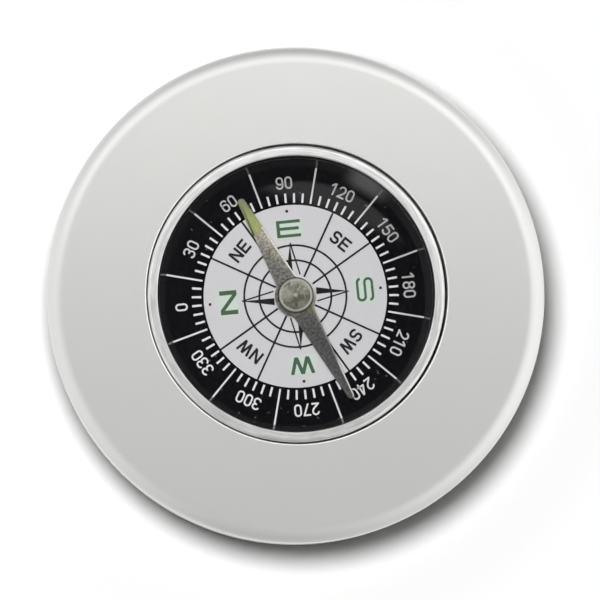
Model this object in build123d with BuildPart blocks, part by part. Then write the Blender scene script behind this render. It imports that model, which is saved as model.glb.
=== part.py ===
from build123d import *
import math
import os

# Qibla compass: a sealed needle compass set in a turned aluminium desk disc.
# Millimetres. The origin is the centre of the felt underside, +Z is up through the lens,
# and +Y is the top of the face as it is read.

# Desk disc
disc_radius = 33.5
disc_height = 12.0
disc_edge_slope = 1.0
disc_slope_flat = 0.1
disc_corner_radius = 0.45
disc_foot_chamfer = 0.5
pocket_edge_break = 0.2

# Felt pad in the recess under the disc
pad_recess_radius = 30.0
pad_recess_depth = 0.8
pad_clearance = 0.5
pad_thickness = 1.05
pad_corner_round = 0.3
pad_adhesive_thickness = 0.15

# Compass capsule
bezel_radius = 20.0
bezel_stand = 0.3
bezel_wall = 0.35
bezel_shoulder_round = 0.45
lip_width = 1.37
lip_thickness = 0.6
lip_chamfer = 0.22
crimp_clearance = 0.1
crimp_thickness = 0.35
pocket_clearance = 0.2
rim_clearance = 0.05
lens_thickness = 1.8
lens_edge_chamfer = 0.15
gasket_thickness = 0.3
gasket_setback = 0.05
cup_wall = 0.4
cup_floor = 0.6
cup_flange_width = 0.35
cup_flange_thickness = 0.4
cup_heel_round = 0.7
cup_inner_round = 0.2
bond_thickness = 0.4
bond_inset = 0.75
bond_hole_radius = 4.0

# Dial and the dark wall above it
dial_thickness = 0.5
dial_clearance = 0.25
wall_foot_width = 1.15
wall_top_width = 0.35
wall_clearance = 0.05

# Pivot
bush_radius = 1.5
bush_flange_radius = 2.6
bush_flange_thickness = 0.3
bush_stand = 0.3
bush_chamfer = 0.1
pin_radius = 0.45
pin_cone_length = 0.9
pin_tip_radius = 0.04
press_fit = 0.02

# Needle
needle_heading = 29.4
needle_end_clearance = 1.55
north_shortfall = 1.05
blade_root_half_width = 1.67
blade_tip_radius = 0.45
blade_hub_radius = 2.7
blade_hub_fillet = 0.8
blade_hole_radius = 1.5
blade_thickness = 0.45
blade_bevel_width = 0.2
blade_bevel_height = 0.14
cap_radius = 2.27
cap_height = 0.55
cap_bevel_width = 0.3
cap_bevel_height = 0.2
cap_dimple_radius = 0.35
cap_dimple_depth = 0.12
cap_roof = 0.25
collar_radius = 1.9
collar_height = 0.45
collar_over_bush = 0.35
jewel_radius = 1.0
jewel_setback = 0.05
jewel_cup_radius = 0.85
jewel_cup_depth = 0.85
pivot_play = 0.03
needle_headroom = 0.7

# Levels of the disc and its pad, upwards from the table
recess_ceiling = pad_thickness + pad_adhesive_thickness
disc_base = recess_ceiling - pad_recess_depth
disc_top = disc_base + disc_height

# Levels of the needle above the dial face
collar_rise = bush_stand + collar_over_bush
blade_rise = collar_rise + collar_height
cap_rise = blade_rise + blade_thickness
cap_top_rise = cap_rise + cap_height
wall_height = cap_top_rise + needle_headroom - gasket_thickness

# Levels of the capsule, downwards from the bezel
bezel_top = disc_top + bezel_stand
lens_top = bezel_top - lip_thickness
lens_base = lens_top - lens_thickness
cup_rim = lens_base - gasket_thickness
dial_face = cup_rim - wall_height
dial_base = dial_face - dial_thickness
cup_base = dial_base - cup_floor
pocket_floor = cup_base - bond_thickness
flange_base = cup_rim - cup_flange_thickness
crimp_base = flange_base - crimp_thickness

# Levels of the pivot and the needle
collar_base = dial_face + collar_rise
blade_base = dial_face + blade_rise
blade_top = dial_face + cap_rise
cap_top = dial_face + cap_top_rise
jewel_base = collar_base + jewel_setback
jewel_top = cap_top - cap_roof
pivot_point = jewel_base + jewel_cup_depth
pin_tip = pivot_point - pivot_play
bush_top = dial_face + bush_stand

# Round between the disc's face and its sloped edge, which takes the slope up to the corner's round
slope_reach = math.tan(math.radians(45) / 2)
slope_length = math.hypot(disc_edge_slope, disc_edge_slope)
disc_shoulder_radius = (slope_length - disc_slope_flat) / slope_reach - disc_corner_radius

# Radii that follow from their neighbours
pocket_radius = bezel_radius + pocket_clearance
pad_radius = pad_recess_radius - pad_clearance
lip_radius = bezel_radius - lip_width
bezel_bore = bezel_radius - bezel_wall
rim_radius = bezel_bore - rim_clearance
cup_radius = rim_radius - cup_flange_width
crimp_radius = cup_radius + crimp_clearance
cup_bore = cup_radius - cup_wall
dial_radius = cup_bore - dial_clearance
spacer_radius = cup_bore - wall_clearance
wall_foot_radius = spacer_radius - wall_foot_width
wall_top_radius = spacer_radius - wall_top_width
south_reach = wall_foot_radius - needle_end_clearance
north_reach = south_reach - north_shortfall
bush_hole_radius = bush_radius + press_fit
spigot_radius = blade_hole_radius - press_fit
jewel_bore = jewel_radius + press_fit
pin_bore = pin_radius + press_fit

os.makedirs("parts", exist_ok=True)

# Turned aluminium disc, with a pocket for the capsule and a shallow recess for the felt
with BuildPart() as base_disc:
    with BuildSketch(Plane.XY.offset(disc_base)):
        Circle(disc_radius)
    extrude(amount=disc_height)
    chamfer(base_disc.edges().group_by(Axis.Z)[-1], length=disc_edge_slope)
    fillet(base_disc.edges().filter_by(GeomType.CIRCLE).group_by(Axis.Z)[-2], radius=disc_corner_radius)
    fillet(base_disc.edges().filter_by(GeomType.CIRCLE).group_by(Axis.Z)[-1], radius=disc_shoulder_radius)
    chamfer(base_disc.edges().group_by(Axis.Z)[0], length=disc_foot_chamfer)
    with BuildSketch(Plane.XY.offset(disc_top)):
        Circle(pocket_radius)
    extrude(amount=pocket_floor - disc_top, mode=Mode.SUBTRACT)
    pocket_mouth = base_disc.edges().group_by(Axis.Z)[-1].sort_by(SortBy.RADIUS)[0]
    chamfer(pocket_mouth, length=pocket_edge_break)
    with BuildSketch(Plane.XY.offset(disc_base)):
        Circle(pad_recess_radius)
    extrude(amount=pad_recess_depth, mode=Mode.SUBTRACT)
base_disc.part.label = "base_disc"
export_step(base_disc.part, "parts/base_disc.step")

# Felt pad that the compass stands on
with BuildPart() as base_pad:
    with BuildSketch(Plane.XY):
        Circle(pad_radius)
    extrude(amount=pad_thickness)
    fillet(base_pad.edges().group_by(Axis.Z)[0], radius=pad_corner_round)
base_pad.part.label = "base_pad"
export_step(base_pad.part, "parts/base_pad.step")

# Adhesive film between the felt and the disc
with BuildPart() as pad_adhesive:
    with BuildSketch(Plane.XY.offset(pad_thickness)):
        Circle(pad_radius)
    extrude(amount=pad_adhesive_thickness)
pad_adhesive.part.label = "pad_adhesive"
export_step(pad_adhesive.part, "parts/pad_adhesive.step")

# Foam tape ring that holds the capsule on the pocket's floor
with BuildPart() as capsule_tape:
    with BuildSketch(Plane.XY.offset(pocket_floor)):
        Circle(cup_radius - bond_inset)
        Circle(bond_hole_radius, mode=Mode.SUBTRACT)
    extrude(amount=bond_thickness)
capsule_tape.part.label = "capsule_tape"
export_step(capsule_tape.part, "parts/capsule_tape.step")

# Drawn brass cup of the capsule, with a rim flange for the crimped bezel
with BuildPart() as capsule_cup:
    with BuildSketch(Plane.XZ) as cup_section:
        with BuildLine():
            Polyline(
                (bush_hole_radius, cup_base),
                (cup_radius, cup_base),
                (cup_radius, flange_base),
                (rim_radius, flange_base),
                (rim_radius, cup_rim),
                (cup_bore, cup_rim),
                (cup_bore, dial_base),
                (bush_hole_radius, dial_base),
                close=True,
            )
        make_face()
        heel = cup_section.vertices().group_by(Axis.Y)[0].sort_by(Axis.X)[-1]
        fillet(heel, radius=cup_heel_round)
        inner_corner = cup_section.vertices().filter_by(
            lambda corner: math.isclose(corner.X, cup_bore) and math.isclose(corner.Y, dial_base)
        )
        fillet(inner_corner, radius=cup_inner_round)
    revolve(axis=Axis.Z)
capsule_cup.part.label = "capsule_cup"
export_step(capsule_cup.part, "parts/capsule_cup.step")

# Printed dial plate on the cup's floor
with BuildPart() as dial_plate:
    with BuildSketch(Plane.XY.offset(dial_base)):
        Circle(dial_radius)
        Circle(bush_hole_radius, mode=Mode.SUBTRACT)
    extrude(amount=dial_thickness)
dial_plate.part.label = "dial_plate"
export_step(dial_plate.part, "parts/dial_plate.step")

# Dark spacer ring that holds the dial down and carries the lens, with a sloping inner wall
with BuildPart() as spacer_ring:
    with BuildSketch(Plane.XZ):
        with BuildLine():
            Polyline(
                (wall_foot_radius, dial_face),
                (spacer_radius, dial_face),
                (spacer_radius, cup_rim),
                (wall_top_radius, cup_rim),
                close=True,
            )
        make_face()
    revolve(axis=Axis.Z)
spacer_ring.part.label = "spacer_ring"
export_step(spacer_ring.part, "parts/spacer_ring.step")

# Flat rubber seal under the lens
with BuildPart() as lens_gasket:
    with BuildSketch(Plane.XY.offset(cup_rim)):
        Circle(rim_radius)
        Circle(wall_top_radius + gasket_setback, mode=Mode.SUBTRACT)
    extrude(amount=gasket_thickness)
lens_gasket.part.label = "lens_gasket"
export_step(lens_gasket.part, "parts/lens_gasket.step")

# Clear flat lens
with BuildPart() as lens:
    with BuildSketch(Plane.XY.offset(lens_base)):
        Circle(rim_radius)
    extrude(amount=lens_thickness)
    chamfer(lens.edges().filter_by(GeomType.CIRCLE), length=lens_edge_chamfer)
lens.part.label = "lens"
export_step(lens.part, "parts/lens.step")

# Bright bezel ring, crimped under the cup's flange
with BuildPart() as bezel_ring:
    with BuildSketch(Plane.XZ) as bezel_section:
        with BuildLine():
            Polyline(
                (lip_radius, lens_top),
                (bezel_bore, lens_top),
                (bezel_bore, flange_base),
                (crimp_radius, flange_base),
                (crimp_radius, crimp_base),
                (bezel_radius, crimp_base),
                (bezel_radius, bezel_top),
                (lip_radius, bezel_top),
                close=True,
            )
        make_face()
        top_corners = bezel_section.vertices().group_by(Axis.Y)[-1].sort_by(Axis.X)
        fillet(top_corners[-1], radius=bezel_shoulder_round)
        chamfer(top_corners[0], length=lip_chamfer)
    revolve(axis=Axis.Z)
bezel_ring.part.label = "bezel_ring"
export_step(bezel_ring.part, "parts/bezel_ring.step")

# Brass bush, riveted through the cup's floor and the dial
with BuildPart() as pivot_bush:
    with BuildSketch(Plane.XZ):
        with BuildLine():
            Polyline(
                (pin_bore, cup_base - bush_flange_thickness),
                (bush_flange_radius, cup_base - bush_flange_thickness),
                (bush_flange_radius, cup_base),
                (bush_radius, cup_base),
                (bush_radius, bush_top - bush_chamfer),
                (bush_radius - bush_chamfer, bush_top),
                (pin_bore, bush_top),
                close=True,
            )
        make_face()
    revolve(axis=Axis.Z)
pivot_bush.part.label = "pivot_bush"
export_step(pivot_bush.part, "parts/pivot_bush.step")

# Hardened steel pin with a conical point, pressed into the bush
with BuildPart() as pivot_pin:
    with BuildSketch(Plane.XZ):
        with BuildLine():
            Polyline(
                (0, cup_base - bush_flange_thickness),
                (pin_radius, cup_base - bush_flange_thickness),
                (pin_radius, pin_tip - pin_cone_length),
                (pin_tip_radius, pin_tip),
                (0, pin_tip),
                close=True,
            )
        make_face()
    revolve(axis=Axis.Z)
pivot_pin.part.label = "pivot_pin"
export_step(pivot_pin.part, "parts/pivot_pin.step")

# Magnetised steel blade: a round hub with two tapered arms, bevelled along its upper edges
with BuildPart() as needle_blade:
    with BuildSketch(Plane.XY.offset(blade_base).rotated((0, 0, needle_heading))) as blade_outline:
        for tip in (north_reach - blade_tip_radius, blade_tip_radius - south_reach):
            with BuildLine():
                Line((-blade_root_half_width, 0), (blade_root_half_width, 0))
                CenterArc((0, tip), blade_tip_radius, 0, 360)
            make_hull()
        Circle(blade_hub_radius)
        hub_corners = blade_outline.vertices().filter_by(
            lambda corner: math.isclose(math.hypot(corner.X, corner.Y), blade_hub_radius, rel_tol=1e-4)
        )
        fillet(hub_corners, radius=blade_hub_fillet)
    extrude(amount=blade_thickness)
    blade_face = needle_blade.faces().sort_by(Axis.Z)[-1]
    chamfer(blade_face.edges(), length=blade_bevel_width, length2=blade_bevel_height, reference=blade_face)
    with BuildSketch(Plane.XY.offset(blade_base)):
        Circle(blade_hole_radius)
    extrude(amount=blade_thickness, mode=Mode.SUBTRACT)
needle_blade.part.label = "needle_blade"
export_step(needle_blade.part, "parts/needle_blade.step")

# Cap swaged through the blade, closed above and bored from below for the jewel
with BuildPart() as needle_cap:
    with BuildSketch(Plane.XZ):
        with BuildLine():
            Polyline(
                (jewel_bore, collar_base),
                (collar_radius, collar_base),
                (collar_radius, blade_base),
                (spigot_radius, blade_base),
                (spigot_radius, blade_top),
                (cap_radius, blade_top),
                (cap_radius, cap_top - cap_bevel_height),
                (cap_radius - cap_bevel_width, cap_top),
                (cap_dimple_radius, cap_top),
                (0, cap_top - cap_dimple_depth),
                (0, jewel_top),
                (jewel_bore, jewel_top),
                close=True,
            )
        make_face()
    revolve(axis=Axis.Z)
needle_cap.part.label = "needle_cap"
export_step(needle_cap.part, "parts/needle_cap.step")

# Jewel bearing with a conical cup that rides on the pin's point
with BuildPart() as needle_jewel:
    with BuildSketch(Plane.XZ):
        with BuildLine():
            Polyline(
                (jewel_cup_radius, jewel_base),
                (jewel_radius, jewel_base),
                (jewel_radius, jewel_top),
                (0, jewel_top),
                (0, pivot_point),
                close=True,
            )
        make_face()
    revolve(axis=Axis.Z)
needle_jewel.part.label = "needle_jewel"
export_step(needle_jewel.part, "parts/needle_jewel.step")
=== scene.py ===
"""Finishes the desk compass: turned metal, clear lens, printed dial and needle, on a pale stage.

Everything is in metres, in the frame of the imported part: +Z up through the lens, +Y to the top of the face.
"""

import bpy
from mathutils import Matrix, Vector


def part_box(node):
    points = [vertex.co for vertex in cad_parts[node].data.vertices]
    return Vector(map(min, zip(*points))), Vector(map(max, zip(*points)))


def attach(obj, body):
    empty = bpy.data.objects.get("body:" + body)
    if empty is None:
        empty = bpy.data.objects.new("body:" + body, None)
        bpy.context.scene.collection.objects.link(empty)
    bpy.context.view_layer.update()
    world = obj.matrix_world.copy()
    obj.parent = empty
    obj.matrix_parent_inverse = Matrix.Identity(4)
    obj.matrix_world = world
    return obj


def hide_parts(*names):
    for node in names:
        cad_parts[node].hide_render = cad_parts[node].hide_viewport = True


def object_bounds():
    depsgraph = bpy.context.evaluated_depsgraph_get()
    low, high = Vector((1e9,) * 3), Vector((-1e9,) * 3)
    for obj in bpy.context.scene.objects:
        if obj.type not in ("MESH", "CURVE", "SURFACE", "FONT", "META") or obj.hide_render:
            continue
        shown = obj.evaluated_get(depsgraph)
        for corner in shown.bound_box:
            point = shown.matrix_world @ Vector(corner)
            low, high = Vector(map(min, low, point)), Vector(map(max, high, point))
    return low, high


bl_info = {
    "name": "Desk compass",
    "version": (1, 0, 0),
    "blender": (4, 5, 0),
    "location": "3D View > Sidebar > Compass",
    "description": "Finishes the pieces of a needle compass set in a turned desk disc",
    "category": "Add Mesh",
}

import math

import bmesh
import bpy
from bpy.props import FloatProperty, FloatVectorProperty, PointerProperty
from bpy.types import Operator, Panel, PropertyGroup
from mathutils import Matrix, Vector, noise

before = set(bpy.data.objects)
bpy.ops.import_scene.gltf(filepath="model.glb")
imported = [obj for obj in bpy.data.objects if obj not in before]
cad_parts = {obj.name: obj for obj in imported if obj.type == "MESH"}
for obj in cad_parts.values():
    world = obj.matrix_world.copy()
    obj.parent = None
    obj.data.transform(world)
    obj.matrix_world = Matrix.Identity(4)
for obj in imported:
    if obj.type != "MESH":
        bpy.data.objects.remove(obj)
cad_low, cad_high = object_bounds()

MM = 0.001
WHITE = (1, 1, 1, 1)
ACRYLIC_IOR = 1.49

# How finely shapes are divided
TURN_STEPS = 256
FELT_STEPS = 144
FELT_RINGS = 36
CAP_STEPS = 96
DOT_STEPS = 24
ROUND_SEGMENTS = 6
PAINT_SEGMENTS = 4

# Corners: a guard stands so many roundings beside a round, if that is within so much of its edge
GUARD = 1.2
GUARD_LIMIT = 0.9
EDGE_BREAK = 0.04 * MM

# Meshes: an edge turns sharp from this angle on, and points nearer than this are one
CREASE = math.radians(32)
MERGE = 1e-7

# Print: degrees from one sign to the next, height between strokes, and widths of letters over their height
MARK_STEP = 5
FIGURE_STEP = 30
SPOKE_STEP = 30
QUARTER = 90
LAYER = 2e-6
LETTER_WIDTHS = {"N": 0.78, "E": 0.73, "S": 0.7, "W": 1.05}

# Felt: size of its lumps, its noise (fall-off, spacing and count of layers), and its mean rise and swing
FELT_LUMP = 1.1 * MM
FELT_NOISE = (1.0, 2.0, 3)
FUZZ_MEAN, FUZZ_SWING = 0.4, 0.6

# Grain of the finishes: the size of what varies over a surface, and how deep it goes
BLAST_GRAIN, BLAST_CLOUD, BLAST_DEPTH = 0.1 * MM, 9 * MM, 0.0015 * MM
FELT_FIBRE, FELT_TUFT, FIBRE_DEPTH = 0.35 * MM, 2.2 * MM, 0.12 * MM
TURNING_MARK, MARK_DEPTH = 0.07 * MM, 0.004 * MM
BRUSH_LENGTH, BRUSH_WIDTH = 5 * MM, 0.16 * MM
PATCH_LENGTH, PATCH_WIDTH = 2.4 * MM, 0.5 * MM
TARNISH = 3 * MM
WALL_RIPPLE = 2.5 * MM
FILM_GRAIN, FOAM_GRAIN, RUBBER_GRAIN = 0.8 * MM, 0.3 * MM, 0.2 * MM
PIN_GRAIN, JEWEL_GRAIN = 0.2 * MM, 0.5 * MM
PRINT_GRAIN, CARD_GRAIN, INK_GRAIN, DUST_SPECK = 0.25 * MM, 0.3 * MM, 0.2 * MM, 0.6 * MM
STEEL_MOTTLE, STEEL_BLOTCH, CAP_PATCH = 0.36 * MM, 1.6 * MM, 1.3 * MM
PAINT_CLOT, CLOT_DEPTH = 0.5 * MM, 0.015 * MM

# The disc's cut slope, out from its edge and up from its top, in widths of the slope
RIM_INSIDE = (-2.1, -1.0)
RIM_BELOW = (-1.4, -1.1)

# The needle's finishes and painted light: where they start and end, along it, across it, or out from what is
# named
SHADED_TO_GREY = (-7 * MM, 4 * MM)
GREY_TO_LIT = (3 * MM, 10 * MM)
STAIN_EDGE = (0.4 * MM, 1.3 * MM)
DARK_RING_EDGE = (0.1 * MM, 0.28 * MM)
HIGHLIGHT_DIM_START = (0.5 * MM, 2 * MM)
HIGHLIGHT_DIM_END = (9 * MM, 12 * MM)
HIGHLIGHT_SIDE = (-0.3 * MM, 0.3 * MM)
PAINT_SHADE_SIDE = (-0.8 * MM, -0.35 * MM)
DIMPLE_HIGHLIGHT = (0.1 * MM, 0.32 * MM)

# How the start of the painted sheen on the north arm slants across the needle, and how far blotches shift it
LIT_SLANT = 2
BLOTCH_SHIFT = 3 * MM

# The painted highlight on the needle cap's rim, out from its edge in widths of the rim
RIM_HIGHLIGHT = (-1.1, -0.8)

# Corners of the cap's rim: in from its edge and down from its top, in widths of the rim, and rounding
CAP_RIM = ((0.0, 0.3, 0.1 * MM), (0.45, 0.0, 0.08 * MM), (0.75, 0.0, 0.06 * MM))
RIM_FOOT_ROUND = 0.05 * MM

# The cap's dimple: its mouth and its floor, over its radius, and rounding
DIMPLE_MOUTH, DIMPLE_FLOOR, DIMPLE_ROUND = 1.2, 0.4, 0.06 * MM

# Corners of the paint at its brushed start: across, over its half width, then along and rounding
PAINT_START = (
    (-1.0, -0.3 * MM, 0.1 * MM),
    (-0.3, 0.05 * MM, 0.2 * MM),
    (0.4, 0.1 * MM, 0.2 * MM),
    (1.0, 0.4 * MM, 0.1 * MM),
)

# Rounding of the paint's tip, over its half width there
PAINT_TIP_ROUND = 0.9

# Camera and floor, in metres where no other unit is named
SENSOR_MILLIMETRES = 36
CLIP = (0.01, 10)
FLOOR_SIZE = 3.0

# Edges of the floor's open part under the felt and of its white part, over the radius of the compass
OPEN_FLOOR = (0.94, 0.95)
WHITE_FLOOR = (1.14, 1.5)

# Where the mirrored room and the light from below change, as parts of a direction of length 1
ROOM_BACK = (0.25, 0.6)
ROOM_HORIZON = (0.82, 0.98)
ROOM_FRONT = (0.15, 0.6)
FRONT_RIGHT = (0.12, 0.4)
FRONT_LEFT = (0.25, 0.55)
ROOM_RIGHT = (0.0, 0.55)
ROOM_LEFT = (0.15, 0.6)
SIDES_END = (0.35, 0.75)
BELOW = (0.1, 0.5)

# Edges of the glares on the lens, and of the part that mirrors no room, over the sizes of the glares
GLARE_START = (0.72, 0.84)
GLARE_END = (0.98, 1.02)
SPOT_EDGE = (0.2, 1.0)
LENS_CLEAR = (4, 6)


# Kinds of setting

def length(name, description, millimetres):
    """A length that can be changed, given here in millimetres and kept in metres."""
    return FloatProperty(name=name, description=description, default=millimetres * MM, min=0.0,
                         precision=5, unit="LENGTH")


def lengths(name, description, *millimetres):
    """A row of lengths, given here in millimetres and kept in metres."""
    return FloatVectorProperty(name=name, description=description, size=len(millimetres),
                               default=tuple(part * MM for part in millimetres), precision=5, unit="LENGTH")


def angle(name, description, degrees):
    """An angle that can be changed, given here in degrees."""
    return FloatProperty(name=name, description=description, default=math.radians(degrees), subtype="ANGLE",
                         unit="ROTATION")


def share(name, description, value):
    """A part of one, such as a roughness."""
    return FloatProperty(name=name, description=description, default=value, min=0.0, max=1.0,
                         subtype="FACTOR")


def ratio(name, description, value):
    """One length over another."""
    return FloatProperty(name=name, description=description, default=value, min=0.0, unit="NONE")


def ratios(name, description, *values):
    """A row of plain numbers, each one length over another."""
    return FloatVectorProperty(name=name, description=description, size=len(values), default=values,
                               unit="NONE")


def power(name, description, watts):
    """The power of a lamp."""
    return FloatProperty(name=name, description=description, default=watts, min=0.0, unit="POWER")


def colour(name, description, red, green, blue):
    """A surface colour."""
    return FloatVectorProperty(name=name, description=description, default=(red, green, blue), size=3,
                               min=0.0, max=1.0, subtype="COLOR")


# Settings of the pieces

class DiscSettings(PropertyGroup):
    """Sizes and finish of the turned disc and its felt."""
    edge_slope: length("Edge slope", "Width and height of the slope along the upper edge", 1.0)
    slope_flat: length("Slope flat", "What stays straight between the slope's two rounds", 0.1)
    corner_radius: length("Corner radius", "Radius between the slope and the wall", 0.45)
    foot_chamfer: length("Foot chamfer", "Chamfer of the lower edge", 0.5)
    mouth_round: length("Mouth round", "Rounding of the pocket's mouth", 0.2)
    pocket_round: length("Pocket round", "Rounding at the pocket's floor", 0.3)
    recess_round: length("Recess round", "Rounding at the ceiling of the felt's recess", 0.2)
    pocket_clearance: length("Pocket clearance", "Mean gap between the bezel and the pocket's wall", 0.23)
    pocket_right: length("Pocket right", "How far right of the capsule the pocket's middle lies", 0.105)
    pocket_up: length("Pocket up", "How far above the capsule, on the face, the pocket's middle lies", 0.055)
    pad_clearance: length("Pad clearance", "Gap between the felt and the wall of its recess", 0.5)
    metal: colour("Metal", "Colour of the satin aluminium", 0.7, 0.702, 0.683)
    rim_metal: colour("Rim metal", "Colour of the cut slope along the upper edge", 0.82, 0.82, 0.81)
    cut_metal: colour("Cut metal", "Colour of the freshly cut mouth of the pocket", 0.95, 0.95, 0.94)
    roughness: share("Roughness", "Roughness of the satin face", 0.4)
    pad_round: length("Pad round", "Rounding of the felt's lower edge", 0.3)
    pad_fuzz: length("Felt fuzz", "How far the felt's surface rises and falls", 0.05)
    felt: colour("Felt", "Colour of the felt", 0.018, 0.018, 0.021)
    adhesive: colour("Adhesive", "Colour of the felt's adhesive film", 0.62, 0.6, 0.52)


class CapsuleSettings(PropertyGroup):
    """Sizes and finishes of the capsule: bezel, dark wall, cup, tape and seal."""
    lip_width: length("Lip width", "How far the bezel reaches over the lens", 1.37)
    lip_thickness: length("Lip thickness", "Thickness of the bezel over the lens", 0.6)
    lip_round: length("Lip round", "Rounding of the bezel's inner edge", 0.16)
    shoulder_round: length("Shoulder round", "Radius of the bezel's outer edge", 0.45)
    bezel_wall: length("Bezel wall", "Thickness of the bezel round the lens", 0.35)
    crimp_width: length("Crimp width", "How far the bezel is turned in under the cup's flange", 0.65)
    crimp_thickness: length("Crimp thickness", "Thickness of the turned-in edge", 0.35)
    crimp_round: length("Crimp round", "Rounding of the turned-in edge", 0.1)
    heel_round: length("Heel round", "Rounding of the bezel's lower outer edge", 0.15)
    wall_foot: length("Wall foot", "Width of the dark wall at the dial", 1.15)
    wall_top: length("Wall top", "Width of the dark wall at the lens", 0.35)
    plating: colour("Plating", "Colour of the bright bezel", 0.95, 0.95, 0.925)
    brass: colour("Brass", "Colour of the cup and the pivot bush", 0.68, 0.5, 0.24)
    wall: colour("Wall", "Colour of the dark wall", 0.025, 0.025, 0.0265)
    tape: colour("Tape", "Colour of the foam tape", 0.7, 0.69, 0.64)
    gasket: colour("Gasket", "Colour of the seal under the lens", 0.014, 0.014, 0.014)


class DialSettings(PropertyGroup):
    """Layout and inks of the printed dial."""
    heading: angle("Heading", "Where north is printed, anticlockwise from the top of the face", 95.8)
    ink_height: length("Ink height", "How far each layer of ink stands up", 0.02)
    card_radius: length("Card radius", "Radius of the white card", 12.42)
    card_hole: ratio("Card hole", "Radius of the card's hole over that of the pivot bush", 0.6)
    bare_radius: length("Bare radius", "Radius of the bare middle of the card", 2.88)
    tick_start: length("Tick start", "Radius where the degree marks start", 12.74)
    short_end: length("Short end", "Radius where the short marks end", 14.02)
    long_end: length("Long end", "Radius where the long marks end", 17.75)
    short_width: length("Short width", "Width of the short marks", 0.28)
    long_width: length("Long width", "Width of the long marks", 0.24)
    figure_radius: length("Figure radius", "Radius at the middle of the figures", 15.47)
    figure_height: length("Figure height", "Height of the figures", 1.69)
    figure_width: length("Figure width", "Width of one figure", 1.02)
    figure_gap: length("Figure gap", "From one figure to the next", 0.18)
    figure_pen: length("Figure pen", "Width of the figures' strokes", 0.23)
    point_radii: lengths("Point radii", "Radii at the middles of N, E, S and W", 9.07, 9.21, 9.49, 9.45)
    point_height: length("Point height", "Height of N, E, S and W", 2.34)
    point_width: length("Point width", "Width of N, E, S and W", 3.25)
    point_pens: lengths("Point pens", "Widths of their strokes before stretching", 0.4, 0.41, 0.34, 0.37)
    point_stretches: ratios("Point stretches", "How far they are stretched sideways", 1.45, 1.1, 1.05, 1.3)
    quarter_radius: length("Quarter radius", "Radius at the middle of NE, SE, SW and NW", 9.68)
    quarter_height: length("Quarter height", "Height of NE, SE, SW and NW", 1.81)
    quarter_pen: length("Quarter pen", "Width of their strokes", 0.33)
    quarter_gap: length("Quarter gap", "From one of their letters to the next", 0.22)
    dot_radius: length("Dot radius", "Radius of the ring of dots", 11.6)
    dot_size: length("Dot size", "Radius of one dot", 0.2)
    outer_circle: length("Outer circle", "Radius of the outer circle of the rose", 6.92)
    inner_circle: length("Inner circle", "Radius of the inner circle of the rose", 4.88)
    line: length("Line", "Width of the rose's lines", 0.27)
    star_tip: length("Star tip", "Radius of the star's points", 7.27)
    star_flare: ratio("Star flare", "Half width of a point over the length to its tip", 0.215)
    star_line: ratio("Star line", "Width of the star's thin edges over that of the rose's lines", 0.75)
    # Painted shade on the scale: its marks and figures darken towards the wall at this heading.
    thin_heading: angle("Thin heading",
                        "Where the scale's ink is thinnest, anticlockwise from the top of the face", -28)
    thin_marks: share("Thin marks", "How bright the marks are where their ink is thinnest", 0.66)
    thin_figures: share("Thin figures", "How bright the figures are where their ink is thinnest", 0.48)
    black: colour("Black", "Colour of the dial's ground", 0.004, 0.004, 0.005)
    dust: colour("Dust", "Colour of the dust on the dial's ground", 0.3, 0.3, 0.3)
    card: colour("Card", "Colour of the card", 0.57, 0.565, 0.58)
    mint: colour("Mint", "Tint round the green letters", 0.5, 0.72, 0.54)
    mark_ink: colour("Mark ink", "Colour of the degree marks", 0.69, 0.69, 0.69)
    figure_ink: colour("Figure ink", "Colour of the figures", 0.69, 0.69, 0.69)
    black_ink: colour("Black ink", "Colour of the rose and of NE, SE, SW and NW", 0.006, 0.006, 0.007)
    green_ink: colour("Green ink", "Colour of N, E, S and W", 0.058, 0.106, 0.063)


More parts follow.
